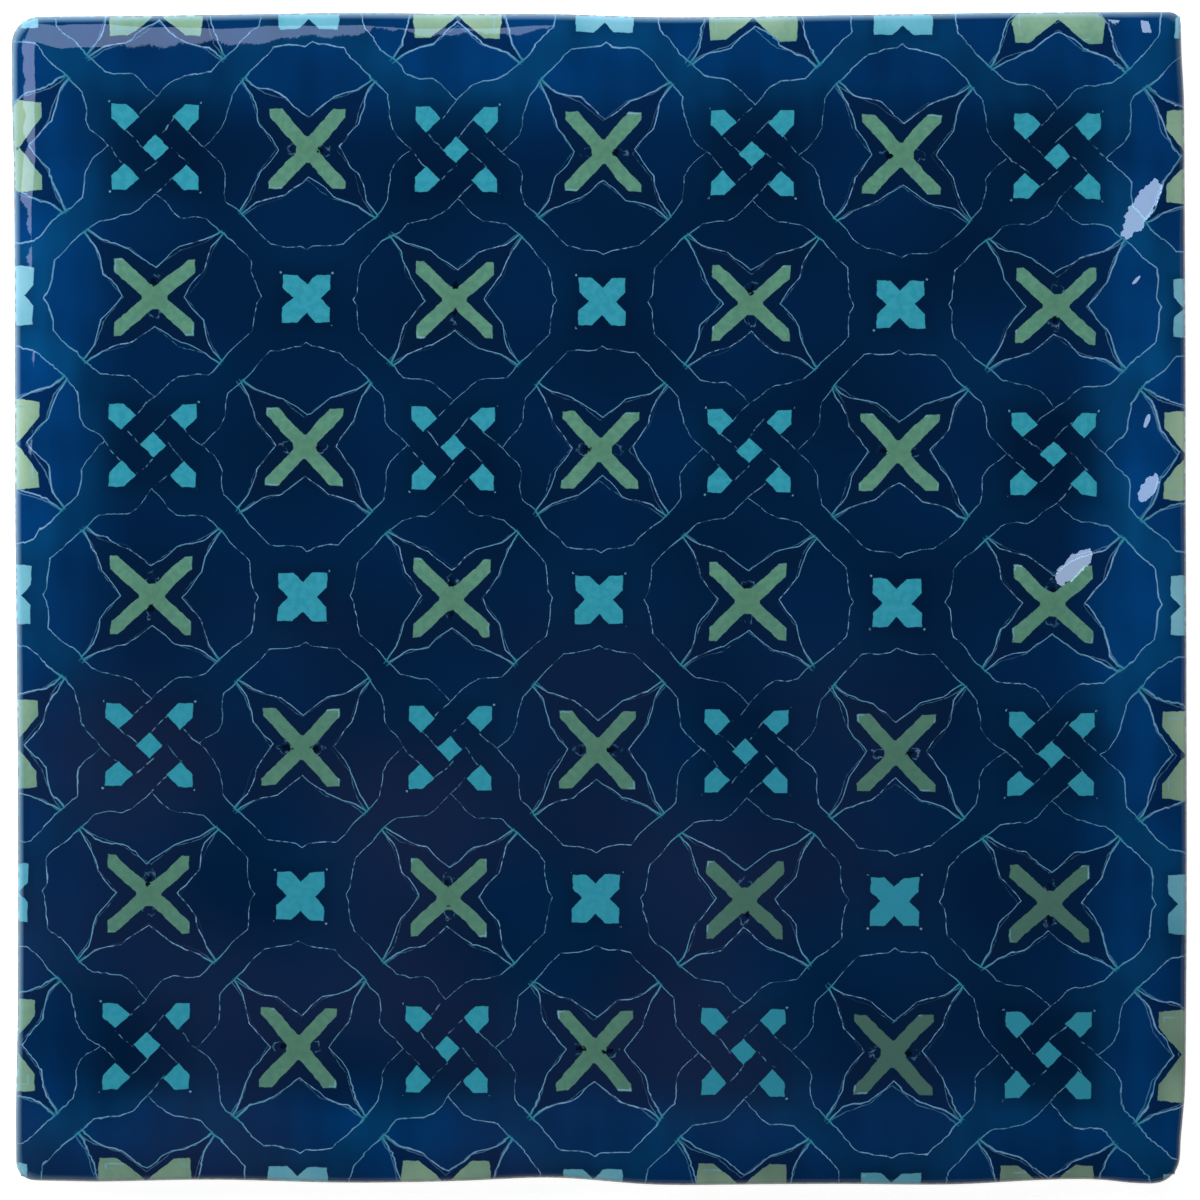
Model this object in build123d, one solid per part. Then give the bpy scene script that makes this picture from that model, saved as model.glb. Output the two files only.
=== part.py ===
# Hand-made square wall tile: one slab of white earthenware, fired with its glaze, lying on its back.
# The hand-cut outline wanders by up to a millimetre, the pressed face is slightly crowned and waved,
# its edges roll over under the glaze, and the unglazed back has shallow keying grooves for the adhesive.
# Millimetres. +Z points out of the face, +Y to the face's top edge, and the origin is under the middle.

import os
from math import cos, pi

from build123d import *

# Overall size of the slab
TILE_WIDTH = 150.0  # along X, at the widest
TILE_LENGTH = 150.0  # along Y, at the longest
TILE_THICKNESS = 10.0  # at the middle of the face

# Radii of the outline's corners, as seen on the face
RADIUS_BOTTOM_LEFT = 2.4
RADIUS_BOTTOM_RIGHT = 3.6
RADIUS_TOP_RIGHT = 1.4
RADIUS_TOP_LEFT = 3.6

# How far each corner stands in from the true rectangle, along X and along Y
INSET_BOTTOM_LEFT = (0.64, 0.73)
INSET_BOTTOM_RIGHT = (0.89, 0.33)
INSET_TOP_RIGHT = (0.76, 0.17)
INSET_TOP_LEFT = (0.04, 0.80)

# How far each cut edge stands in from the true rectangle, at even steps of about 10 mm along it.
# The edges follow one another anticlockwise, so the top one runs from right to left.
BOTTOM_INSETS = [0.59, 0.80, 0.80, 0.48, 0.50, 0.80, 1.12, 0.30, 0.18, 0.28, 0.27, 0.22, 0.74, 0.76]
RIGHT_INSETS = [0.42, 0.13, 0.05, 0.02, 0.02, 0.05, 0.08, 0.13, 0.17, 0.19, 0.20, 0.25, 0.33, 0.43]
TOP_INSETS = [0.22, 0.27, 0.37, 0.54, 0.73, 0.86, 0.84, 0.48, 0.47, 0.36, 0.34, 0.49, 0.66, 0.78]
LEFT_INSETS = [0.07, 0.34, 0.43, 0.48, 0.50, 0.52, 0.57, 0.69, 0.82, 0.86, 0.88, 0.87, 0.83, 0.60]

# Face: a low crown, long hand-pressed waves, and edges that roll down towards the rim
CROWN_RISE = 0.30  # middle of the face above the middle of an edge
WAVE_HEIGHT = 0.10  # crest above the mean face
WAVE_LENGTH_X = 64.0
WAVE_LENGTH_Y = 52.0
ROLL_WIDTH = 6.5
ROLL_DROP = 1.3
ROLL_POWER = 2.4  # how suddenly the roll steepens towards the rim
FACE_GRID = 3.0  # spacing of the points that the face passes through
FACE_TOLERANCE = 0.001  # how closely it passes through them
FACE_OVERLAP = 4.0  # how far the face surface runs out past the slab before it is trimmed
SPARE_CLAY = 2.0  # clay above the finished face, before it is pressed

# Rims
LIP_RADIUS = 1.0  # glazed lip between the face and the side
ARRIS_RADIUS = 0.6  # worn lower edge, round the back

# Keying grooves, scraped across the back with a round tool
GROOVE_TOOL_RADIUS = 6.0
GROOVE_DEPTH = 0.8
GROOVE_PITCH = 15.0
GROOVE_MARGIN = 14.0  # left plain at the groove's ends and beside the outermost grooves

NODE = "glazed_tile"


def wander(start, end, inward, insets):
    """Points of one cut edge: even steps along the straight line, each moved inwards by its inset."""
    steps = len(insets) + 1
    return [start + (end - start) * ((i + 1) / steps) + inward * inset for i, inset in enumerate(insets)]


def outline():
    """The slab's outline: four wandering edges, each a spline, joined by a quarter arc at every corner."""
    # Sign along X and Y, inset and radius of each corner, anticlockwise from the bottom left
    corners = [
        (-1, -1, INSET_BOTTOM_LEFT, RADIUS_BOTTOM_LEFT),
        (1, -1, INSET_BOTTOM_RIGHT, RADIUS_BOTTOM_RIGHT),
        (1, 1, INSET_TOP_RIGHT, RADIUS_TOP_RIGHT),
        (-1, 1, INSET_TOP_LEFT, RADIUS_TOP_LEFT),
    ]
    # Direction of travel along the edge after each corner, and the edge's insets
    edges = [
        (Vector(1, 0), BOTTOM_INSETS),
        (Vector(0, 1), RIGHT_INSETS),
        (Vector(-1, 0), TOP_INSETS),
        (Vector(0, -1), LEFT_INSETS),
    ]
    true = [Vector(sx * TILE_WIDTH / 2, sy * TILE_LENGTH / 2) for sx, sy, _, _ in corners]
    cut = [point - Vector(sx * dx, sy * dy) for point, (sx, sy, (dx, dy), _) in zip(true, corners)]
    lines = []
    for i, (along, insets) in enumerate(edges):
        after = (i + 1) % len(corners)
        radius, radius_after = corners[i][3], corners[after][3]
        inward = along.rotate(Axis.Z, 90)
        first = cut[i] + along * radius
        last = cut[after] - along * radius_after
        between = wander(true[i], true[after], inward, insets)
        lines.append(Spline(first, *between, last, tangents=(along, along)))
        lines.append(JernArc(last, along, radius_after, 90))
    return make_face(lines)


def roll(distance):
    """How far the face has rolled down at this distance in from the edge."""
    share = max(0.0, (ROLL_WIDTH - distance) / ROLL_WIDTH)
    return ROLL_DROP * share**ROLL_POWER


def face_height(x, y):
    """Height of the glazed face above the back."""
    half_x, half_y = TILE_WIDTH / 2, TILE_LENGTH / 2
    crown = CROWN_RISE * ((x / half_x) ** 2 + (y / half_y) ** 2)
    rolled = roll(half_x - abs(x)) + roll(half_y - abs(y))
    wave = WAVE_HEIGHT / 2 * (cos(2 * pi * x / WAVE_LENGTH_X) + cos(2 * pi * y / WAVE_LENGTH_Y) - 2)
    return TILE_THICKNESS - crown - rolled + wave


def stations(half):
    """Evenly spaced positions across the face along one axis, past both edges."""
    reach = half + FACE_OVERLAP
    count = round(2 * reach / FACE_GRID)
    return [-reach + 2 * reach * i / count for i in range(count + 1)]


def above_face():
    """The space over the glazed face, which is cut away from the slab."""
    rows = [
        [(x, y, face_height(x, y)) for x in stations(TILE_WIDTH / 2)]
        for y in stations(TILE_LENGTH / 2)
    ]
    face = Face.make_surface_from_array_of_points(rows, tol=FACE_TOLERANCE, min_deg=3, max_deg=3)
    return extrude(face, TILE_THICKNESS, dir=(0, 0, 1))


def keying_groove(y):
    """One scraped groove along X: a round bar with rounded ends, sunk into the back by its depth."""
    reach = TILE_WIDTH / 2 - GROOVE_MARGIN
    run = Pos(0, y, GROOVE_DEPTH - GROOVE_TOOL_RADIUS) * Rot(0, 90, 0)
    bar = run * Cylinder(GROOVE_TOOL_RADIUS, 2 * reach)
    ends = [run * Pos(0, 0, z) * Sphere(GROOVE_TOOL_RADIUS) for z in (-reach, reach)]
    return bar + ends


def keying_grooves():
    """An even number of grooves, so that the middle of the back stays a flat land."""
    pairs = int((TILE_LENGTH / 2 - GROOVE_MARGIN - GROOVE_PITCH / 2) // GROOVE_PITCH) + 1
    places = [GROOVE_PITCH * (k + 0.5) for k in range(pairs)]
    return [keying_groove(sign * y) for y in places for sign in (-1, 1)]


def glazed_tile():
    """The whole tile: the slab, trimmed to its face, with its lip, its lower edge and its grooves."""
    slab = extrude(outline(), TILE_THICKNESS + SPARE_CLAY) - above_face()
    slab = fillet(slab.faces().sort_by(Axis.Z)[-1].outer_wire().edges(), LIP_RADIUS)
    slab = fillet(slab.faces().sort_by(Axis.Z)[0].outer_wire().edges(), ARRIS_RADIUS)
    return slab - keying_grooves()


os.makedirs("parts", exist_ok=True)
tile = glazed_tile()
tile.label = NODE
export_step(tile, os.path.join("parts", NODE + ".step"))
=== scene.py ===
from functools import partial

import bpy
import numpy as np
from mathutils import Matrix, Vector


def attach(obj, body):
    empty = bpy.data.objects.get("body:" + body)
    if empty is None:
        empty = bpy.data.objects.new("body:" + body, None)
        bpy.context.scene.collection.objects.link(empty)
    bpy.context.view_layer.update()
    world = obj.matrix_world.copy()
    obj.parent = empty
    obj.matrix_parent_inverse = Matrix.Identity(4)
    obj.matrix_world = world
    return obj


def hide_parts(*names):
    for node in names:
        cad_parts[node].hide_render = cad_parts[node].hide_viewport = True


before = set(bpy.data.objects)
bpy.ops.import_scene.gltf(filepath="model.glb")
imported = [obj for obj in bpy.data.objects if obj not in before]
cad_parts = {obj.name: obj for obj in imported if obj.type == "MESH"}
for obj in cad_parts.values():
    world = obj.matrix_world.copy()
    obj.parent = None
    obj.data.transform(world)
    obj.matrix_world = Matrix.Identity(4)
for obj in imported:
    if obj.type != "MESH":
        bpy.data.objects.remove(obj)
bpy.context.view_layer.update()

# The tile's body: one slab of white earthenware, rolled out, cut by hand and pressed, then fired with a
# glaze that rounds its edges and stops part of the way down the sides, in a small bead. The back is bare,
# with scraped keying grooves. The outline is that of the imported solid.
MM = 0.001
HALF = 75.0  # half of the square that the outline was cut from
THICK = 10.0
RING_TOLERANCE = 0.01  # how near the lower edge's height a point of the solid counts as lying on it
ROUNDING = (1, 4, 6, 4, 1)  # weights of the running mean that rounds the outline's joins
CROWN_RISE = 0.30
WAVE_HEIGHT, WAVE_LENGTHS = 0.10, (64.0, 52.0)
ROLL_WIDTH, ROLL_DROP, ROLL_POWER = 6.5, 1.3, 2.4
ROLL_WANDER = ((0.22, 31.0, 0.4), (0.08, 11.3, 2.1), (0.03, 4.1, 4.4))  # waves: height, length and start
ROLL_APART = 40.0  # how far each edge is moved along those waves, so that opposite ones differ
LIP_RADIUS, ARRIS_RADIUS = 1.0, 0.6
LIP_SLOPE = np.arctan(ROLL_DROP * ROLL_POWER / ROLL_WIDTH)  # where the face runs into the lip
GROOVE_TOOL_RADIUS, GROOVE_DEPTH = 6.0, 0.8
GROOVE_PITCH, GROOVE_REACH, GROOVE_COUNT = 15.0, 61.0, 8
GLAZE_DOWN = 4.5  # how far down the side the glaze has run
RUN_WANDER = ((0.10, 41.0, 1.0), (0.08, 16.0, 3.0), (0.05, 6.4, 0.2))  # waves, as shares of that
BEAD_HEIGHT, BEAD_REACH = 0.10, 0.45
FACE_CELLS, LIP_ROWS, WALL_ROWS, ARRIS_ROWS = 180, 10, 18, 5
CROWDING = 0.18  # how much closer together the cells are near the edges
FOLLOWING = 8  # power of the distance from the middle by which the grid comes to follow the outline
MAP_FACE, MAP_GAP = 0.87, 0.01  # share of the map's side that the face takes, and the gap beside it


def wander(along, waves):
    """A hand's slow wander along an edge: a sum of sine waves, each of a height, a length and a start."""
    return sum(height * np.sin(2 * np.pi * along / length + start) for height, length, start in waves)


def ease(share):
    """Runs smoothly from 0 to 1, level at both ends: three times the square less twice the cube."""
    share = np.clip(share, 0, 1)
    return share**2 * (3 - 2 * share)


def outline_shares(directions):
    """How far out the cut outline lies in each direction, as a share of the true square's edge there. The
    solid's points where its wall meets the lower rounded edge make a ring. Each direction's ray is met with
    the straight line between the two ring points beside it, and a running mean then rounds the joins."""
    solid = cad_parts["glazed_tile"].data
    points = np.empty(3 * len(solid.vertices))
    solid.vertices.foreach_get("co", points)
    points = points.reshape(-1, 3) / MM
    on_ring = np.abs(points[:, 2] - ARRIS_RADIUS) < RING_TOLERANCE
    ring = np.unique(points[on_ring, :2].round(3), axis=0)
    ring = ring[np.argsort(np.arctan2(ring[:, 1], ring[:, 0]))]
    after = np.searchsorted(np.arctan2(ring[:, 1], ring[:, 0]), directions) % len(ring)
    p, q = ring[after - 1], ring[after]
    ray, along = np.stack([np.cos(directions), np.sin(directions)], axis=1), q - p
    reach = (p[:, 0] * q[:, 1] - p[:, 1] * q[:, 0]) / (ray[:, 0] * along[:, 1] - ray[:, 1] * along[:, 0])
    share = reach * np.abs(ray).max(axis=1) / HALF
    rolled = (weight * np.roll(share, k) for k, weight in enumerate(ROUNDING, start=-(len(ROUNDING) // 2)))
    return sum(rolled) / sum(ROUNDING)


def face_height(x, y):
    """Height of the glazed face: a crown that falls with the square of the distance, two long pressed waves,
    and a roll that steepens towards each edge from a wandering start."""
    height = THICK - CROWN_RISE * (x**2 + y**2) / HALF**2
    for v, other, length in zip((x, y), (y, x), WAVE_LENGTHS):
        inside = HALF - np.abs(v) + wander(other + ROLL_APART * np.sign(v), ROLL_WANDER)
        height = height + WAVE_HEIGHT / 2 * (np.cos(2 * np.pi * v / length) - 1)
        height = height - ROLL_DROP * np.clip(1 - inside / ROLL_WIDTH, 0, None) ** ROLL_POWER
    return height


def back_height(x, y):
    """Height of the back: flat, with scraped grooves whose section is an arc of the round tool."""
    height = np.zeros_like(x)
    past_end = np.clip(np.abs(x) - GROOVE_REACH, 0, None)
    for k in range(GROOVE_COUNT):
        off = np.hypot(past_end, y - GROOVE_PITCH * (k - (GROOVE_COUNT - 1) / 2))
        arc = np.sqrt(np.clip(GROOVE_TOOL_RADIUS**2 - off**2, 0, None)) - GROOVE_TOOL_RADIUS + GROOVE_DEPTH
        height = np.maximum(height, arc)
    return height


def tile_surface():
    """The closed surface: a square grid over the face, another over the back, and between them a profile (lip
    arc, upright wall, lower arc) carried round the outline. Both grids are plain in the middle and lean out
    to the outline towards their edges. Also gives each point's distance in from the edge, counted on below
    zero down the wall, and a map with most of its room for the face."""
    even = np.linspace(-1, 1, FACE_CELLS + 1)
    u, v = np.meshgrid(*2 * [even + CROWDING * np.sin(np.pi * even)])
    index = np.arange(u.size).reshape(u.shape)
    rim = np.concatenate([index[0, :-1], index[:-1, -1], index[-1, :0:-1], index[:0:-1, 0]])
    rim = np.roll(rim, -np.argmin(np.arctan2(v.flat[rim], u.flat[rim])))
    rim_u, rim_v = u.flat[rim], v.flat[rim]
    rim_angle = np.arctan2(rim_v, rim_u)
    rim_share = outline_shares(rim_angle)
    out = np.maximum(np.abs(u), np.abs(v))
    share = np.interp(np.arctan2(v, u), rim_angle, rim_share, period=2 * np.pi)

    def sheet(inset, height):
        """A grid's points, its rim drawn in from the outline by an inset, and how far in each one lies."""
        lean = 1 - out**FOLLOWING * (1 - share * (1 - inset / HALF))
        x, y = u * HALF * lean, v * HALF * lean
        where = np.stack([x, y, height(x, y)], axis=-1).reshape(-1, 3)
        return where, (HALF * (1 - out * lean / share)).ravel()

    face, face_inset = sheet(LIP_RADIUS * (1 - np.sin(LIP_SLOPE)), face_height)
    back, _ = sheet(ARRIS_RADIUS, back_height)
    brim = face[rim, 2]
    lip_turn = np.linspace(LIP_SLOPE, np.pi / 2, LIP_ROWS + 1)[1:, None]
    lip_inset = LIP_RADIUS * (1 - np.sin(lip_turn)) + 0 * brim
    lip_z = brim - LIP_RADIUS * (np.cos(LIP_SLOPE) - np.cos(lip_turn))
    wall_z = lip_z[-1] + np.linspace(0, 1, WALL_ROWS + 1)[1:, None] * (ARRIS_RADIUS - lip_z[-1])
    arris_turn = np.linspace(0, np.pi / 2, ARRIS_ROWS + 1)[1:-1, None]
    arris_z = ARRIS_RADIUS * (1 - np.sin(arris_turn)) + 0 * brim
    run = 1 + wander(HALF * (rim_u - rim_v), RUN_WANDER)
    wall_down = (wall_z - lip_z[-1]) * run
    bead = BEAD_HEIGHT * np.exp(-(((wall_down + GLAZE_DOWN - BEAD_REACH) / BEAD_REACH) ** 2))
    rim_inset = np.concatenate([lip_inset, -bead, ARRIS_RADIUS * (1 - np.cos(arris_turn)) + 0 * brim])
    scale = HALF * rim_share * (1 - rim_inset / HALF)
    side = np.stack([rim_u * scale, rim_v * scale, np.concatenate([lip_z, wall_z, arris_z])], axis=-1)
    rows, around = scale.shape

    points = np.concatenate([face, side.reshape(-1, 3), back])
    between = u.size + np.arange(rows * around).reshape(rows, around)
    loops = np.concatenate([rim[None], between, (u.size + rows * around + rim)[None]])
    after = np.roll(loops, -1, axis=1)
    cell = index[:-1, :-1], index[:-1, 1:], index[1:, 1:], index[1:, :-1]
    face_quads = np.stack(cell, axis=-1).reshape(-1, 4)
    side_quads = np.stack([loops[1:], after[1:], after[:-1], loops[:-1]], axis=-1).reshape(-1, 4)
    quads = np.concatenate([face_quads, side_quads, face_quads[:, ::-1] + u.size + rows * around])

    below = np.full((ARRIS_ROWS - 1) * around + u.size, -THICK)
    insets = np.concatenate([face_inset, lip_inset.ravel(), wall_down.ravel(), below])
    step, row = np.meshgrid(np.arange(around) / around, np.linspace(0, 1, rows + 2))
    strip, strip_after = np.stack([step, row], axis=-1), np.stack([step + 1 / around, row], axis=-1)
    side_map = np.stack([strip[1:], strip_after[1:], strip_after[:-1], strip[:-1]], axis=2).reshape(-1, 4, 2)
    beside = MAP_FACE + MAP_GAP
    maps = np.concatenate([
        (face[face_quads, :2] / (2 * HALF) + 0.5) * MAP_FACE,
        side_map * (1, 1 - MAP_GAP - MAP_FACE) + (0, beside),
        (back[face_quads[:, ::-1], :2] / (2 * HALF) + 0.5) * (1 - MAP_GAP - MAP_FACE, MAP_FACE) + (beside, 0),
    ])
    return points, quads, insets, maps


points, quads, insets, maps = tile_surface()
mesh = bpy.data.meshes.new("glazed_tile_surface")
mesh.from_pydata(points * MM, [], quads)
mesh.shade_smooth()
mesh.uv_layers.new(name="OFBake").data.foreach_set("uv", maps.ravel())
tile = bpy.data.objects.new("glazed_tile_surface", mesh)
bpy.context.scene.collection.objects.link(tile)
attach(tile, "root")
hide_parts("glazed_tile")


# The painted glaze: cobalt blue, with a hand-drawn interlace of octagons, knots and saltires in fine pale
# lines, filled in with copper green and turquoise under a clear, glossy glaze. It pales where it thins at
# the edges, and a painted highlight pales its rim further towards the top left. It ends in an uneven line on
# the sides, above bare, chalky, off-white clay.
PITCH = 38.0  # from one cross to the next
TURN = -0.57  # degrees that the drawing is askew on the tile
SHIFT = (0.35, -0.24)  # how far its middle is off the tile's
# How unevenly its columns lie, from the left, and its rows, from the bottom
COLUMNS_OFF = (-1.4, -0.2, 0.1, 0.0, -0.3, -0.3, -0.3, 0.5, 1.3)
ROWS_OFF = (-1.2, -0.2, 0.1, 0.0, 0.1, 0.3, 0.1, 0.1, 1.2)
# How far the crosses cut by the tile's edge were moved in, how far round each that reaches, and its fade
SQUEEZE, SQUEEZE_REACH, SQUEEZE_FADE = 0.9, 9.5, 4.0
# Where the glaze has drawn back and shows a brighter blue. Along an edge: width of the band, how much of it
# is the fade, least and greatest strength, and the place and reach of the greatest. Elsewhere: place, reach
# and strength.
THIN_LEFT, THIN_RIGHT = (17.0, 15.0, 0.22, 0.90, 34.0, 36.0), (17.0, 12.0, 0.42, 0.85, 18.0, 40.0)
THIN_TOP, THIN_BOTTOM = (18.0, 12.0, 0.35, 0.62, -8.0, 35.0), (16.0, 8.0, 0.30, 0.46, -25.0, 50.0)
THIN_SPOTS = (
    ((-72.0, 44.0), 5.0, 0.5), ((-57.0, 47.0), 4.0, 0.12), ((-9.0, 68.0), 6.0, 0.3), ((8.0, 20.0), 5.0, 0.10),
    ((18.0, -52.0), 5.0, 0.15), ((68.0, 40.0), 4.0, 0.3), ((68.0, -4.0), 6.0, 0.4), ((50.0, 30.0), 5.0, 0.12),
)
# Unevenness of the thin glaze: strength and length of its blotches all over, and by the edges its least
# share, strength and length of the mottling, and strength, length and squeeze of the upright streaks
BLOTCH, BLOTCH_LENGTH = 0.12, 23.0
MOTTLE_LEAST, MOTTLE, MOTTLE_LENGTH = 0.62, 0.4, 9.0
STREAK, STREAK_LENGTH, STREAK_SQUEEZE = 0.3, 11.0, (3.0, 0.6)
# A violet tinge to the lower left, and fillings that darken downwards and most to the lower right: where
# each comes in, over how far, its share, and the length of its blotches
VIOLET_TOP, VIOLET_RIGHT, VIOLET_FADES, VIOLET_LENGTH = 8.0, 56.0, (30.0, 40.0), 31.0
DUSK_TOP, DUSK_FADE, DUSK = 8.0, 24.0, 0.35
CORNER_TOP, CORNER_LEFT, CORNER_FADES, CORNER_DUSK = 10.0, -8.0, (70.0, 34.0), 0.6
# The hand: its drift, its tremor and their lengths, its shake from point to point, how much of all this the
# second strokes have, the other way, and the lengths of stretches with a full brush and of slips
DRIFT, DRIFT_LENGTHS = 0.08, (26.0, 70.0)
TREMOR, TREMOR_LENGTHS = 0.14, (4.0, 12.0)
SHAKE, SHAKE_SEED = 0.05, 5
SECOND_STRAY = -0.4
PATCH_LENGTHS, SLIP_LENGTHS = (7.0, 20.0), (3.0, 7.0)
# Small flats where the glaze sank beside the right edge: place, half length and half width, and slant in
# degrees. Past the margin round them, and deeper than the face, nothing is flat.
FLATS = (
    (69.1, 49.6, 4.4, 1.4, 60.0), (70.0, 14.0, 2.1, 0.95, 58.0), (60.4, 4.0, 3.1, 1.25, 43.0),
    (68.4, 40.5, 0.7, 0.22, 45.0), (69.8, 22.6, 0.9, 0.30, 70.0),
)
FLAT_MARGIN, FLAT_STEEPNESS, FACE_DEPTH = 1.1, 20.0, 2.0
FACING_POWER = 7  # odd and high, so that each side faces its own way as far as the corners


def clouds(x, y, length, start):
    """Soft blotches from 0 to 1: a half, plus a quarter of the sum of three sine waves that cross one
    another, each at its own slant and with its own share of the length."""
    ways = ((0.3, 1.0), (1.4, 0.83), (2.5, 1.21))
    waves = (np.sin(2 * np.pi * (x * np.cos(t) + y * np.sin(t)) / (length * k) + start / k) for t, k in ways)
    return np.clip(0.5 + sum(waves) / 4, 0, 1)


def tremble(x, y, shortest, longest, start):
    """An unsteady hand, within about 2 either way: nine sine waves whose lengths grow by one ratio from the
    shortest to the longest, each turned by 137.5 degrees from the one before, added together and divided by
    the root of half their number."""
    k = np.arange(9)
    length, turn = shortest * (longest / shortest) ** (k / 8), np.radians(137.5 * k) + start
    across = np.outer(x, np.cos(turn)) + np.outer(y, np.sin(turn))
    return np.sin(2 * np.pi * across / length + start * (k + 1) ** 2).sum(axis=1) / np.sqrt(4.5)


def thin_glaze(x, y):
    """How thin the glaze lies, 0 to 1: it draws back from each edge, from a few spots and in soft blotches.
    What is kept at a place is the product of what each of these leaves."""
    kept = 1 - BLOTCH * clouds(x, y, BLOTCH_LENGTH, start=1.0)
    streaks = clouds(STREAK_SQUEEZE[0] * x, STREAK_SQUEEZE[1] * y, STREAK_LENGTH, start=2.0)
    mottled = MOTTLE_LEAST + MOTTLE * clouds(x, y, MOTTLE_LENGTH, start=4.0) + STREAK * streaks
    insides, bands = (HALF + x, HALF - x, HALF - y, HALF + y), (THIN_LEFT, THIN_RIGHT, THIN_TOP, THIN_BOTTOM)
    for inside, along, (band, fading, least, greatest, middle, reach) in zip(insides, (y, y, x, x), bands):
        strength = least + (greatest - least) * np.exp(-(((along - middle) / reach) ** 2))
        kept = kept * (1 - mottled * strength * ease((band - inside) / fading))
    for (cx, cy), reach, strength in THIN_SPOTS:
        kept = kept * (1 - strength * np.exp(-((x - cx) ** 2 + (y - cy) ** 2) / (2 * reach**2)))
    return 1 - kept


def drawing(x, y):
    """Where a place on the tile lies on the drawing, in mm from its middle cross: moved, turned, and then
    moved by what lies between the offsets of the nearest two columns and rows."""
    c, s = np.cos(np.radians(TURN)), np.sin(np.radians(TURN))
    u, v = c * (x - SHIFT[0]) + s * (y - SHIFT[1]), c * (y - SHIFT[1]) - s * (x - SHIFT[0])
    even = PITCH / 2 * np.arange(-4, 5)
    return np.stack([u - np.interp(u, even, COLUMNS_OFF), v - np.interp(v, even, ROWS_OFF)])


def squeezed(where):
    """The drawing as it was filled in: near each cross that the tile's edge cuts, moved outwards in smooth
    steps, so that the cross itself lies further in."""
    cross = PITCH * np.round(where / PITCH)
    near = ease((SQUEEZE_REACH - np.abs(where - cross).max(axis=0)) / SQUEEZE_FADE)
    return where + SQUEEZE * near * np.sign(cross) * (np.abs(cross) > PITCH)


def flats(x, y, z):
    """Where a place lies on the nearest flat: along it in half lengths and across it in half widths, so that
    its edge is 1 away from its middle, and a third part that grows steeply clear of it and below the face."""
    flat = np.array(FLATS)
    away = np.hypot(x[:, None] - flat[:, 0], y[:, None] - flat[:, 1])
    cx, cy, long, wide, slant = flat[away.argmin(axis=1)].T
    c, s = np.cos(np.radians(slant)), np.sin(np.radians(slant))
    along, across = c * (x - cx) + s * (y - cy), c * (y - cy) - s * (x - cx)
    clear = np.clip(away.min(axis=1) - long - FLAT_MARGIN, 0, None) + np.clip(THICK - FACE_DEPTH - z, 0, None)
    return along / long, across / wide, FLAT_STEEPNESS * clear


def carried(x, y, z, inset):
    """What each point of the surface carries for the glaze, three numbers at a time. A side's facing is the
    difference of its outward parts; the tinges are products of eased steps; the hand strays by its shake,
    drift and tremor added together."""
    outward = np.stack([x, y]) ** FACING_POWER
    facing = (outward[1] - outward[0]) / np.maximum(np.hypot(*outward), 1) / np.sqrt(2)
    violet = ease((VIOLET_TOP - y) / VIOLET_FADES[0]) * ease((VIOLET_RIGHT - x) / VIOLET_FADES[1])
    corner = ease((CORNER_TOP - y) / CORNER_FADES[0]) * ease((x - CORNER_LEFT) / CORNER_FADES[1])
    dusk = DUSK * ease((DUSK_TOP - y) / DUSK_FADE) + CORNER_DUSK * corner
    patch = ease(0.5 + 0.5 * tremble(x, y, *PATCH_LENGTHS, start=0.7))
    slip = ease(0.5 + 0.5 * tremble(x, y, *SLIP_LENGTHS, start=4.1))
    stray = np.random.default_rng(SHAKE_SEED).normal(0, SHAKE, (2, len(x)))
    for k in range(2):
        stray[k] += DRIFT * tremble(x, y, *DRIFT_LENGTHS, start=1.3 + k)
        stray[k] += TREMOR * tremble(x, y, *TREMOR_LENGTHS, start=2.6 + k)
    return {
        # distance in from the edge; facing, for the rim's painted highlight: 1 to the top left, -1 to the
        # bottom right; where the brush slipped
        "edge": (inset, facing, slip),
        # how thin the glaze is, its violet tinge, and how far the fillings have darkened
        "tone": (thin_glaze(x, y), violet * clouds(x, y, VIOLET_LENGTH, start=2.2), dusk),
        # place on the drawing, as the hand drew it; where the brush was full
        "drawn": (*drawing(x, y) + stray, patch),
        # place on the drawing for the fillings and the second strokes
        "filled": (*squeezed(drawing(x, y)) + SECOND_STRAY * stray, 0 * x),
        # place on the nearest flat
        "flat": flats(x, y, z),
    }


attributes = carried(*points.T, insets)
for name, value in attributes.items():
    attribute = mesh.attributes.new(name, "FLOAT_VECTOR", "POINT")
    attribute.data.foreach_set("vector", np.stack(value, axis=-1).ravel())
glaze = bpy.data.materials.new("glazed_painted_earthenware")
glaze.use_nodes = True
glaze.node_tree.nodes.clear()


def linear(code):
    """An sRGB hex colour as linear red, green, blue and alpha. A dark part is divided by 12.92. A brighter
    one has 0.055 added, is divided by 1.055 and raised to the power 2.4."""
    part = np.array([int(code[k : k + 2], 16) for k in (0, 2, 4)]) / 255
    return (*np.where(part <= 0.04045, part / 12.92, ((part + 0.055) / 1.055) ** 2.4), 1.0)


def add(material, kind, inputs=(), out=0, **settings):
    """Adds one node: its kind, followed by its operation where it has one, its inputs by place or name, each
    a value or another node's output, and its settings. Gives one of its outputs."""
    kind, *operation = kind.split()
    node = material.node_tree.nodes.new("ShaderNode" + kind)
    if operation:
        node.operation = operation[0]
    for name, value in settings.items():
        setattr(node, name, value)
    for key, given in inputs.items() if isinstance(inputs, dict) else enumerate(inputs):
        if isinstance(given, bpy.types.NodeSocket):
            material.node_tree.links.new(given, node.inputs[key])
        else:
            node.inputs[key].default_value = given
    return node.outputs[out] if node.outputs else None


paint = partial(add, glaze)  # adds one to the glaze


def times(*shares):
    """The product of several shares."""
    product = shares[0]
    for share in shares[1:]:
        product = paint("Math MULTIPLY", (product, share))
    return product


def most(*shares):
    """The greatest of several shares."""
    greatest = shares[0]
    for share in shares[1:]:
        greatest = paint("Math MAXIMUM", (greatest, share))
    return greatest


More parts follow.
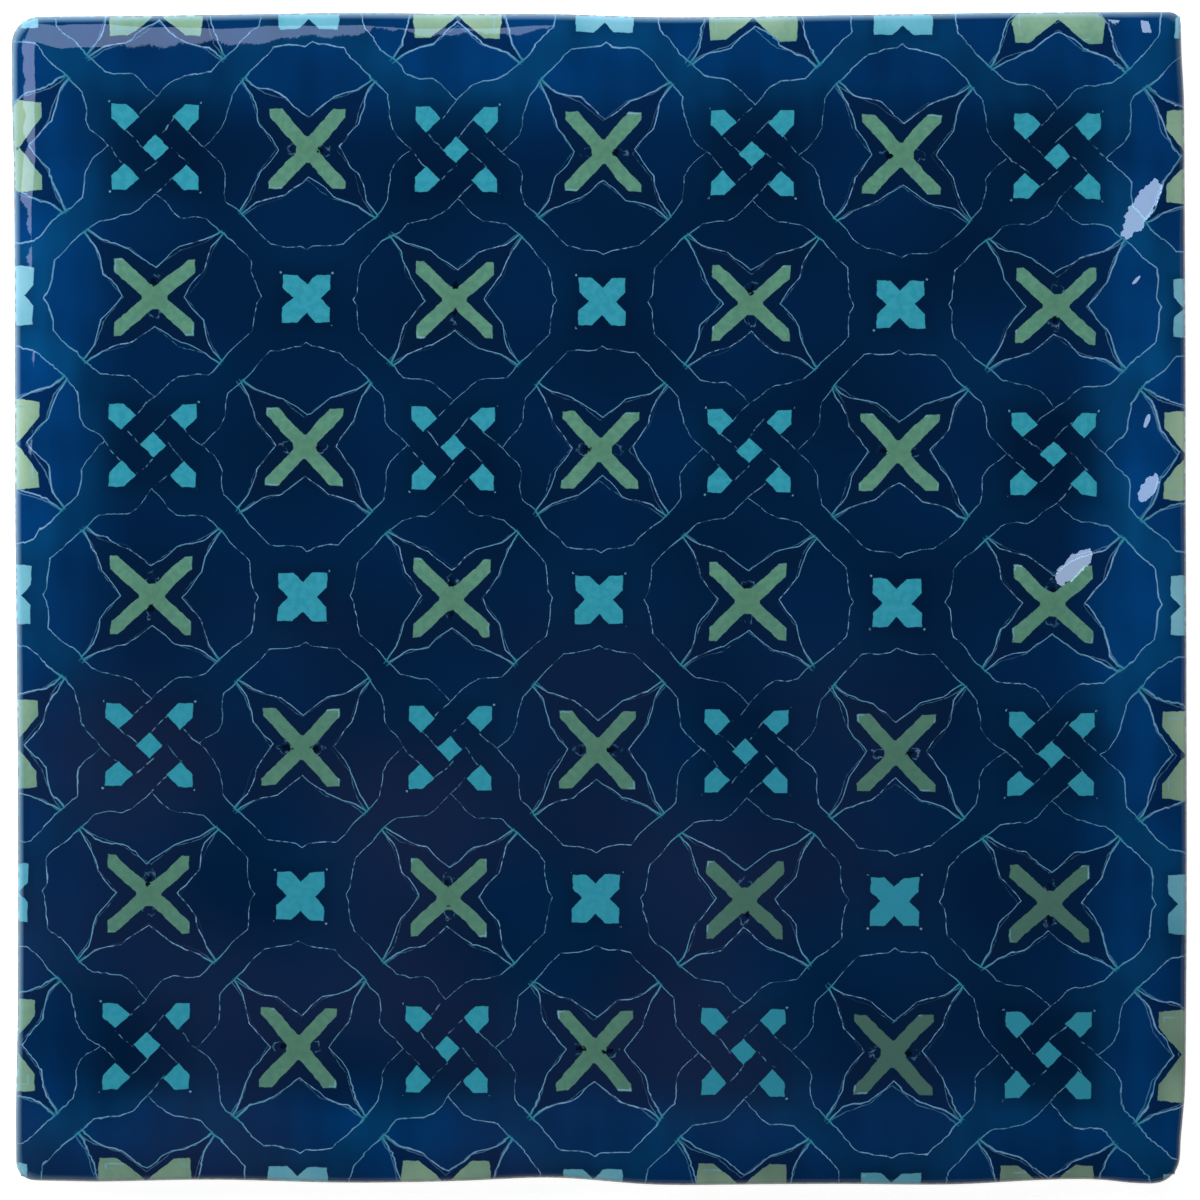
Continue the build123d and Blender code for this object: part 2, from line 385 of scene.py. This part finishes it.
def fade(value, full, gone):
    """One where the value is at full, falling evenly to nothing at gone."""
    slope = 1 / (full - gone)
    return paint("Math MULTIPLY_ADD", (value, slope, -gone * slope), use_clamp=True)


def within(value, limit, soft):
    """One below a limit and nothing above it, with an even step of twice the softness between."""
    return fade(value, limit - soft, limit + soft)


def level(share, first, last):
    """A value that goes evenly from the first to the last with a share."""
    return paint("Math MULTIPLY_ADD", (share, last - first, first))


def apart(value, other):
    """How far two values are apart: their difference without its sign."""
    return paint("Math ABSOLUTE", (paint("Math SUBTRACT", (value, other)),))


def coats(under, *layers):
    """A colour with others laid over it in turn, each covering its share of what is under it. A colour is a
    hex value or comes from other coats."""
    colour = linear(under) if isinstance(under, str) else under
    for share, over in layers:
        over = linear(over) if isinstance(over, str) else over
        colour = paint("Mix", {0: share, 6: colour, 7: over}, out=2, data_type="RGBA")
    return colour


def folded(where):
    """Folds the repeat onto one eighth of it. Gives the greater and the lesser distance along the two axes
    from the nearest cross, saltire and knot, and the distances from a saltire towards the cross and towards
    the knot."""
    wrapped = paint("VectorMath WRAP", (where, (PITCH / 2,) * 3, (-PITCH / 2,) * 3))
    across, up, _ = paint("SeparateXYZ", (paint("VectorMath ABSOLUTE", (wrapped,)),)).node.outputs
    far, near = paint("Math MAXIMUM", (across, up)), paint("Math MINIMUM", (across, up))
    far_back, near_back = (paint("Math SUBTRACT", (PITCH / 2, way)) for way in (far, near))
    saltire = paint("Math MAXIMUM", (far_back, near)), paint("Math MINIMUM", (far_back, near))
    return (far, near), saltire, (near_back, far_back), (far_back, near)


def beyond(axes, bends):
    """How far a place lies outside a drawn line, which runs straight from one bend to the next. A bend is the
    lesser and the greater distance from the motif that the line goes round."""
    full = PITCH / 2
    drawn_at = paint("FloatCurve", {"Value": paint("Math DIVIDE", (axes[1], full))})
    curve = drawn_at.node.mapping.curves[0]
    curve.points[0].location = [distance / full for distance in bends[0]]
    curve.points[1].location = [distance / full for distance in bends[-1]]
    for lesser, greater in bends[1:-1]:
        curve.points.new(lesser / full, greater / full)
    for point in curve.points:
        point.handle_type = "VECTOR"
    drawn_at.node.mapping.update()
    return paint("Math MULTIPLY_ADD", (drawn_at, -full, axes[0]))


def away_from(axes, greater, lesser):
    """Straight distance from a point, which is given by its greater and lesser distance from a motif."""
    return paint("VectorMath DISTANCE", (paint("CombineXYZ", axes), (greater, lesser, 0)), "Value")


# What the points carry, and the streaks that the brush's bristles left, which are drawn as coarse as they
# need to be to show
BRISTLE_LENGTH, BRISTLE_DETAIL = 0.9, 2.0
WET, DRY = 0.62, 0.38  # where a streak holds all of its colour, and none
place = paint("TexCoord", out="Object")
edge, tone, drawn, filled, flat = (
    paint("Attribute", out="Vector", attribute_name=name) for name in attributes
)
inset, facing, slip = paint("SeparateXYZ", (edge,)).node.outputs
thin, violet, dusk = paint("SeparateXYZ", (tone,)).node.outputs
_, _, patch = paint("SeparateXYZ", (drawn,)).node.outputs
bristle = paint(
    "TexNoise", {"Vector": place, "Scale": 1 / (BRISTLE_LENGTH * MM), "Detail": BRISTLE_DETAIL}, "Color",
    noise_dimensions="2D",
)
grain, dry_a, dry_b = (fade(part, WET, DRY) for part in paint("SeparateXYZ", (bristle,)).node.outputs)

# The drawn lines, with the bends that the pattern gives them and a hand that shakes. They are thickest at the
# joints and where the glaze is thin, and those of the octagons and knots break up where the brush ran dry.
# The last two bends of each only close the field inside it.
SALTIRE_LINE = (
    (0, 3.80), (1.69, 5.07), (3.04, 6.16), (4.86, 6.67),
    (6.33, 7.18), (8.02, 8.36), (8.36, 8.60), (8.42, 5.0),
)
OCTAGON_LINE = ((0, 5.83), (0.84, 6.33), (4.43, 6.76), (8.23, 10.56), (9.50, 11.83), (9.56, 5.0))
KNOT_LINE = (
    (0, 5.91), (2.03, 8.02), (3.17, 8.66), (4.64, 8.74),
    (6.54, 9.08), (8.36, 10.77), (9.50, 11.91), (9.56, 5.0),
)
SALTIRE_STOP, OCTAGON_STOP, KNOT_STOP = 8.1, 8.3, 8.5  # lesser distance at which the brush was lifted
STOP_TAPER = 0.3
JOINT = (10.56, 8.23)  # where the three meet beside a strap: greater and lesser distance from the cross
JOINT_FULL, JOINT_REACH = 0.2, 2.8
THIN_WET = 0.9  # how much wetter the lines are where the glaze is thinnest
LINE_HALF, WET_LINE_HALF = 0.05, 0.11  # half of the thickness of a line, and of a wet one
LINE_FULL, LINE_GONE = 0.4, 1.8  # how far from its middle a line is full and gone, in half thicknesses
INK_FULL, INK_DRY, INK_LEAST = 0.8, 0.1, 0.12  # ink that is full and dry, and what is left when dry
cross, saltire, knot, _ = folded(drawn)
off_saltire = beyond(saltire, SALTIRE_LINE)
off_octagon = beyond(cross, OCTAGON_LINE)
off_knot = beyond(knot, KNOT_LINE)
at_joint = fade(away_from(cross, *JOINT), JOINT_FULL, JOINT_REACH)
wet = paint("Math ADD", (at_joint, times(thin, THIN_WET)))
half_thick = level(wet, LINE_HALF, WET_LINE_HALF)


def stroke(off, lesser, stop, fine, strength, ink):
    """A line drawn as far as its stop: the product of a fade across it, whose width is half of its thickness
    times its fineness, a short taper at the stop, and a strength that falls as its ink dries."""
    across = paint("Math DIVIDE", (paint("Math ABSOLUTE", (off,)), half_thick))
    inked = fade(paint("Math ADD", (ink, wet)), INK_FULL, INK_DRY)
    inked = level(inked, INK_LEAST * strength, strength)
    tapered = fade(lesser, stop, stop + STOP_TAPER)
    return times(fade(across, LINE_FULL * fine, LINE_GONE * fine), tapered, inked)


RAGGED = 0.2  # how far the bristles stray at the edge of a filling
brushed = paint("VectorMath MULTIPLY_ADD", (bristle, (RAGGED,) * 3, filled))
brush_cross, brush_saltire, brush_knot, (to_cross, to_knot) = folded(brushed)
again = beyond(brush_saltire, SALTIRE_LINE)
line = most(
    stroke(off_saltire, saltire[1], SALTIRE_STOP, fine=0.9, strength=0.78, ink=most(dry_a, patch)),
    stroke(again, brush_saltire[1], SALTIRE_STOP, fine=0.7, strength=0.35, ink=times(dry_b, patch)),
    stroke(off_octagon, cross[1], OCTAGON_STOP, fine=0.75, strength=0.80, ink=dry_a),
    stroke(off_knot, knot[1], KNOT_STOP, fine=0.75, strength=0.68, ink=dry_b),
)

# Where two straps cross in a knot, short dashes along both edges of the upper one: how far the crossing lies
# from the knot's middle, how far the dashes are from the crossing, half of their length, and their taper
WEAVE_MIDDLE, WEAVE_APART, WEAVE_HALF, WEAVE_TAPER = 3.82, 2.05, 1.015, 0.1
DASH_STRENGTH = 0.5
from_cross = paint("VectorMath WRAP", (drawn, (PITCH,) * 3, (0,) * 3))
from_knot = paint("VectorMath SUBTRACT", (from_cross, (PITCH / 2,) * 3))
across, up, _ = paint("SeparateXYZ", (from_knot,)).node.outputs
lying = paint("Math GREATER_THAN", tuple(paint("Math ABSOLUTE", (way,)) for way in (across, up)))
side_lying = times(up, paint("Math SIGN", (across,)), -1.0)
side_upright = times(across, paint("Math SIGN", (up,)))
side = paint("Mix", {0: lying, 2: side_upright, 3: side_lying}, data_type="FLOAT")
along = paint("Math SUBTRACT", (paint("Math SUBTRACT", (knot[0], side)), WEAVE_MIDDLE))
off_dash = apart(paint("Math ABSOLUTE", (along,)), WEAVE_APART)
past_dash = paint("Math MULTIPLY_ADD", (paint("Math SIGN", (along,)), WEAVE_HALF, side))
past_dash = paint("Math ABSOLUTE", (past_dash,))
dash = times(fade(off_dash, LINE_HALF, WET_LINE_HALF), within(past_dash, WEAVE_HALF, WEAVE_TAPER))
line = most(line, times(dash, dry_a, DASH_STRENGTH))

# The filled motifs: the ends of their arms and half widths, with edges that are slightly ragged from the
# brush. Those cut by the tile's edge were filled in longer and wider.
SALTIRE_END, SALTIRE_ARM, SALTIRE_LEAN = 4.90, 1.25, 0.075  # its arms lean towards the crosses
SALTIRE_WEB = 1.55  # how far from its middle the crotches between its arms are filled
CROSS_END, CROSS_ARM = 3.05, 1.80
KNOT_END, KNOT_ARM, KNOT_NOTCH, DIAMOND = 5.28, 1.76, 5.87, 1.62
SALTIRE_LONGER, SALTIRE_WIDER, CROSS_LONGER, CROSS_WIDER = 0.8, 1.5, 0.7, 0.65
CUT_FULL, CUT_GONE = 1.0, 8.0  # distances in from the tile's edge between which that fades
CRISP = 0.05  # half of the step at the edge of a filling
by_edge = fade(inset, CUT_FULL, CUT_GONE)


def motif(greater, end, off, arm):
    """Four arms along the diagonals: the product of a step at the square of their ends and a step at half an
    arm's width from a diagonal."""
    return times(within(greater, end, CRISP), within(off, arm, CRISP))


def broader(value, more):
    """A distance made less beside the tile's edge, so that what it bounds grows by this much."""
    return paint("Math MULTIPLY_ADD", (by_edge, -more, value))


off_diagonal = paint("Math SUBTRACT", (to_cross, to_knot))
off_arm = paint("Math MULTIPLY_ADD", (brush_saltire[0], -SALTIRE_LEAN, off_diagonal))
off_arm = broader(paint("Math ABSOLUTE", (off_arm,)), SALTIRE_WIDER)
green = motif(broader(brush_saltire[0], SALTIRE_LONGER), SALTIRE_END, off_arm, SALTIRE_ARM)
green = most(green, within(brush_saltire[0], SALTIRE_WEB, CRISP))
knot_sum = paint("Math ADD", brush_knot)
buds = motif(brush_knot[0], KNOT_END, paint("Math SUBTRACT", brush_knot), KNOT_ARM)
buds = times(buds, fade(knot_sum, KNOT_NOTCH + CRISP, KNOT_NOTCH - CRISP))
off_arm = broader(paint("Math SUBTRACT", brush_cross), CROSS_WIDER)
crosses = motif(broader(brush_cross[0], CROSS_LONGER), CROSS_END, off_arm, CROSS_ARM)
turquoise = most(crosses, buds, within(knot_sum, DIAMOND, CRISP))

# The fields: cobalt lenses, straps a little greener, and the deepest blue round the saltires and the fillings
SALTIRE_SOFT, STRAP_SOFT = 0.15, 0.2
CROSS_HALO, KNOT_HALO = (2.6, 4.8), (4.6, 7.2)  # where the dark round a filling is full and gone
HALO, VIOLET = 0.42, 0.6  # how much of the field that dark and the violet tinge cover at most
in_saltire = within(off_saltire, 0.0, SALTIRE_SOFT)
in_strap = most(within(off_octagon, 0.0, STRAP_SOFT), within(off_knot, 0.0, STRAP_SOFT))
halo = most(fade(brush_cross[0], *CROSS_HALO), fade(brush_knot[0], *KNOT_HALO))
lens = coats("031F3C", (thin, "044278"))
strap = coats("031E3A", (thin, "084B78"))
deep = coats("061E38", (thin, "042C58"))
colour = coats(lens, (in_strap, strap), (in_saltire, deep))
colour = coats(colour, (times(halo, HALO), "03172D"), (times(violet, VIOLET), "1C2642"))

# The colours laid over the fields, which darken towards the bottom right and pale by the edges
PATCH_INK = 0.5  # how much of a line's pale blue turns to turquoise where the brush was full
LEAF_HEART, LEAF_HEART_SHARE = (0.6, 3.0), 0.4  # the darker middle of a saltire: full, gone, and its share
PALE_FULL, PALE_GONE = 0.5, 6.0  # distances in from the tile's edge between which the fillings pale
ink = coats("93C2E0", (most(at_joint, times(patch, PATCH_INK)), "3A9AAA"))
heart = times(fade(brush_saltire[0], *LEAF_HEART), LEAF_HEART_SHARE)
# The fillings pale near the edges, as far as the glaze is thin there
paled_where_thin = times(fade(inset, PALE_FULL, PALE_GONE), thin)
leaf = coats("5B8C73", (grain, "659777"), (heart, "547C5C"), (dusk, "476659"), (paled_where_thin, "B4CDA6"))
bud = coats("3296A2", (grain, "3B9FAA"), (dusk, "318896"), (paled_where_thin, "9AD2DA"))
colour = coats(colour, (line, ink), (green, leaf), (turquoise, bud))

# Slips of the brush: dark spots in the crotches of some saltires, some with a pale loop beside them, pale
# strokes across some arm ends, and pale ticks at some corners of the fillings
CROTCH, CROTCH_SQUASH, CROTCH_RAGGED = 1.75, 0.6, 0.35  # place of a spot, and how squashed and ragged it is
SPOT, LOOP, LOOP_STRENGTH = (0.05, 0.20), 0.5, 0.45  # where a spot is full and gone, and its loop's radius
ARM_STROKE_IN = 0.15  # how far a stroke lies in from an arm's end
CROSS_TICK, KNOT_TICK, TICK = 3.35, 5.55, (0.10, 0.18)  # places of ticks, and where one is full and gone
HAIR = (0.04, 0.11)  # how far from its middle a hair line is full and gone
# Slips, or dry bristles for the ticks, at which each of them is full and gone
SPOT_SLIPS, LOOP_SLIPS, ARM_SLIPS, TICK_SLIPS = (0.4, 0.6), (0.12, 0.04), (0.9, 0.6), (0.6, 0.5)
SLIP_STRENGTH = 0.6
crotch = away_from((times(to_knot, CROTCH_SQUASH), to_cross), CROTCH_SQUASH * CROTCH, 0.0)
crotch = paint("Math MULTIPLY_ADD", (dry_b, -CROTCH_RAGGED, crotch))
loop = times(fade(apart(crotch, LOOP), *HAIR), paint("Math SUBTRACT", (1.0, green)))
arm_end = fade(apart(brush_saltire[0], SALTIRE_END - ARM_STROKE_IN), *HAIR)
cross_tick, knot_tick = away_from(brush_cross, *2 * [CROSS_TICK]), away_from(brush_knot, *2 * [KNOT_TICK])
tick = paint("Math MINIMUM", (cross_tick, knot_tick))
slips = most(
    times(loop, fade(slip, *LOOP_SLIPS), dry_a, LOOP_STRENGTH),
    times(arm_end, green, fade(slip, *ARM_SLIPS)),
    times(fade(tick, *TICK), fade(dry_a, *TICK_SLIPS)),
)
spots = times(fade(crotch, *SPOT), fade(slip, *SPOT_SLIPS))
colour = coats(colour, (spots, "04111D"), (times(slips, SLIP_STRENGTH), ink))

# At the rim the glaze is thin and lets the white clay through. Its pale band is also a painted highlight:
# strongest at the top left, the side that faces the key lamp, and gone towards the bottom right. A broken
# grey-brown line runs at the very edge. Down the sides the glaze has run in streaks. Below it the clay is
# bare, browned where the two meet.
RIM_WIDTH, RIM_LEVEL, RIM_HIGHLIGHT_TOP_LEFT = 0.9, 0.28, 0.62  # its width, its mean strength, and that at the top left
EDGE_LINE, EDGE_LINE_DOWN, EDGE_LINE_DRY = (0.12, 0.34), -0.3, (0.2, 0.9)  # full and gone: in, down, dry
RUNS = (-1.6, -0.3)  # where the streaks down the side are full and gone
GLAZE_END_SOFT, BROWNED = 0.05, 0.5
# Thin glaze pales the rim all round at the mean strength; the rise towards the top left is a painted
# highlight
rim = times(fade(inset, 0.0, RIM_WIDTH), level(facing, RIM_LEVEL, RIM_HIGHLIGHT_TOP_LEFT))
edge_line = times(fade(inset, *EDGE_LINE), fade(inset, 0.0, EDGE_LINE_DOWN), fade(dry_b, *EDGE_LINE_DRY))
runs = coats("3C6E92", (patch, "8FB3C4"))
browned = fade(inset, -GLAZE_DOWN, -GLAZE_DOWN - BROWNED)
clay = coats("DED4C4", (grain, "E5DDD0"), (browned, "9C7F63"))
bare = within(inset, -GLAZE_DOWN, GLAZE_END_SOFT)
# AFE0F6 is the pale of the rim's thin glaze and of the painted highlight laid on it
colour = coats(colour, (rim, "AFE0F6"), (edge_line, "7B7A72"), (fade(inset, *RUNS), runs), (bare, clay))

# The fired glaze is a glass: it mirrors the lamps sharply, with a faint orange peel and the small flats,
# which lean towards the top. The bare clay is chalky and matt.
PEEL_HEIGHT, PEEL_LENGTH, PEEL_DETAIL = 0.0016, 0.6, 1.0  # of the orange peel's bumps
LEAN = Vector((0.066, 0.335, 1.0)).normalized()
FLAT_RAGGED, FLAT_SOFT = 0.6, 0.04  # how ragged and how soft a flat's edge is, as shares of its half size
GLAZE_ROUGHNESS, CLAY_ROUGHNESS, GLAZE_IOR = 0.03, 0.9, 1.5
peel = paint(
    "TexNoise", {"Vector": place, "Scale": 1 / (PEEL_LENGTH * MM), "Detail": PEEL_DETAIL}, "Fac",
    noise_dimensions="2D",
)
peeled = paint("Bump", {"Height": peel, "Distance": PEEL_HEIGHT * MM, "Strength": 1.0})
sunk = paint("VectorMath MULTIPLY_ADD", (bristle, (FLAT_RAGGED, FLAT_RAGGED, 0), flat))
sunk = paint("VectorMath DISTANCE", (sunk, (FLAT_RAGGED / 2, FLAT_RAGGED / 2, 0)), "Value")
tilted = paint("VectorTransform", (LEAN,), vector_type="NORMAL", convert_from="OBJECT", convert_to="WORLD")
normal = paint("Mix", {0: within(sunk, 1.0, FLAT_SOFT), 4: peeled, 5: tilted}, out=1, data_type="VECTOR")
surface = {
    "Base Color": colour,
    "Roughness": level(bare, GLAZE_ROUGHNESS, CLAY_ROUGHNESS),
    "IOR": GLAZE_IOR,
    "Normal": normal,
}
paint("OutputMaterial", {"Surface": paint("BsdfPrincipled", surface)})
mesh.materials.append(glaze)


# The floor: a plain white studio sweep, flat under the tile. It keeps the tile's soft shadow. The tile covers
# a square opening in it, through which the back can be looked at from below.
FLOOR_REACH, OPENING_REACH, FLOOR_GAP = 3.0, 0.073, 0.0001
CORNERS = ((-1, -1), (1, -1), (1, 1), (-1, 1))
PAPER_GLOW = 0.85  # what lifts the paper to plain white where it is looked at
floor_mesh = bpy.data.meshes.new("studio_floor")
rings = (FLOOR_REACH, OPENING_REACH)
floor_points = [(reach * x, reach * y, -FLOOR_GAP) for reach in rings for x, y in CORNERS]
floor_mesh.from_pydata(floor_points, [], [(0, 1, 5, 4), (1, 2, 6, 5), (2, 3, 7, 6), (3, 0, 4, 7)])
floor = bpy.data.objects.new("studio_floor", floor_mesh)
bpy.context.scene.collection.objects.link(floor)
# Matt white paper scatters light evenly: it shows soft shadows and no gloss
paper = bpy.data.materials.new("matt_white_paper")
paper.use_nodes = True
paper.node_tree.nodes.clear()
rays = add(paper, "LightPath").node.outputs
seen = add(paper, "Math MAXIMUM", (rays["Is Camera Ray"], rays["Is Glossy Ray"]))
seen = add(paper, "Math MAXIMUM", (seen, rays["Is Transmission Ray"]))
lift = add(paper, "Math MULTIPLY", (seen, PAPER_GLOW))
glow = add(paper, "Emission", {"Color": linear("FFFFFF"), "Strength": lift})
matt = add(paper, "BsdfDiffuse", {"Color": linear("EDEDED")})
add(paper, "OutputMaterial", {"Surface": add(paper, "AddShader", (matt, glow))})
floor_mesh.materials.append(paper)

# The black card: a square of board covered with velvet, held level above the camera. It keeps the face from
# mirroring the room, so that the blues stay deep.
CARD_HALF, CARD_HEIGHT = 2.2, 1.75
card_mesh = bpy.data.meshes.new("black_card")
card_mesh.from_pydata([(CARD_HALF * x, CARD_HALF * y, CARD_HEIGHT) for x, y in CORNERS], [], [(3, 2, 1, 0)])
card = bpy.data.objects.new("black_card", card_mesh)
bpy.context.scene.collection.objects.link(card)
# Black velvet swallows the light that falls between its hairs, and looks black from every side
board = bpy.data.materials.new("black_velvet_board")
board.use_nodes = True
board.node_tree.nodes.clear()
add(board, "OutputMaterial", {"Surface": add(board, "BsdfDiffuse", {"Color": linear("000000")})})
card_mesh.materials.append(board)

# The light: a soft white room, a broad key lamp from the top left, and soft boxes that the rolled edges and
# the flats mirror
ROOM_LIGHT = 0.43
world = bpy.data.worlds.new("studio_room")
bpy.context.scene.world = world
world.use_nodes = True
world.node_tree.nodes.clear()
room = add(world, "Background", {"Color": linear("FFFFFF"), "Strength": ROOM_LIGHT})
add(world, "OutputWorld", {"Surface": room})


def panel(name, middle, size, turn, radiance, colour, aim=None):
    """A rectangular lamp that is equally bright all over, level and turned about the vertical, or aimed at a
    point. Its power is its radiance times pi times its area."""
    lamp = bpy.data.lights.new(name, "AREA")
    lamp.shape = "RECTANGLE"
    lamp.size, lamp.size_y = size
    lamp.color = linear(colour)[:3]
    lamp.energy = radiance * np.pi * size[0] * size[1]
    held = bpy.data.objects.new(name, lamp)
    held.location = middle
    held.rotation_euler = (0, 0, np.radians(turn))
    if aim is not None:
        held.rotation_euler = (held.location - Vector(aim)).to_track_quat("Z", "Y").to_euler()
    bpy.context.scene.collection.objects.link(held)
    return held


TILE = (0, 0, 0)
key = panel("key_lamp", (-1.00, 0.94, 1.12), (1.3, 1.3), turn=0, radiance=5.15, colour="FFFFFF", aim=TILE)
# The rim's painted highlight at the top left stands in for this lamp's mirror image on the rolled edges
key.visible_glossy = False  # its mirror image would wash out the top left corner
panel("soft_box_top", (-0.297, 0.423, 0.70), (0.50, 0.34), turn=-14, radiance=5.0, colour="BCD4FF")
panel("soft_box_left", (-0.534, 0.194, 0.70), (0.25, 0.22), turn=-14, radiance=6.4, colour="C0D2FF")
panel("soft_box_right", (0.218, 0.584, 0.70), (0.104, 0.27), turn=0, radiance=13.1, colour="C3DDFF")

# The camera: straight above the tile, far enough away that its sides don't show, with the tile as large and
# as far off the middle of the frame as in the photograph
FRAME_PIXELS, TILE_PIXELS, MIDDLE = 1200, 1178, (599.0, 598.2)
CAMERA_HEIGHT, FACE_HEIGHT = 1.5, 0.0098
SENSOR = 36.0
pixel = 2 * HALF * MM / TILE_PIXELS
off_middle = (FRAME_PIXELS / 2 - MIDDLE[0]) * pixel, (MIDDLE[1] - FRAME_PIXELS / 2) * pixel
eye = bpy.data.cameras.new("camera")
eye.sensor_width = SENSOR
eye.lens = SENSOR * (CAMERA_HEIGHT - FACE_HEIGHT) / (FRAME_PIXELS * pixel)
camera = bpy.data.objects.new("camera", eye)
camera.location = (*off_middle, CAMERA_HEIGHT)
bpy.context.scene.collection.objects.link(camera)
bpy.context.scene.camera = camera
bpy.context.scene.view_settings.view_transform = "Standard"
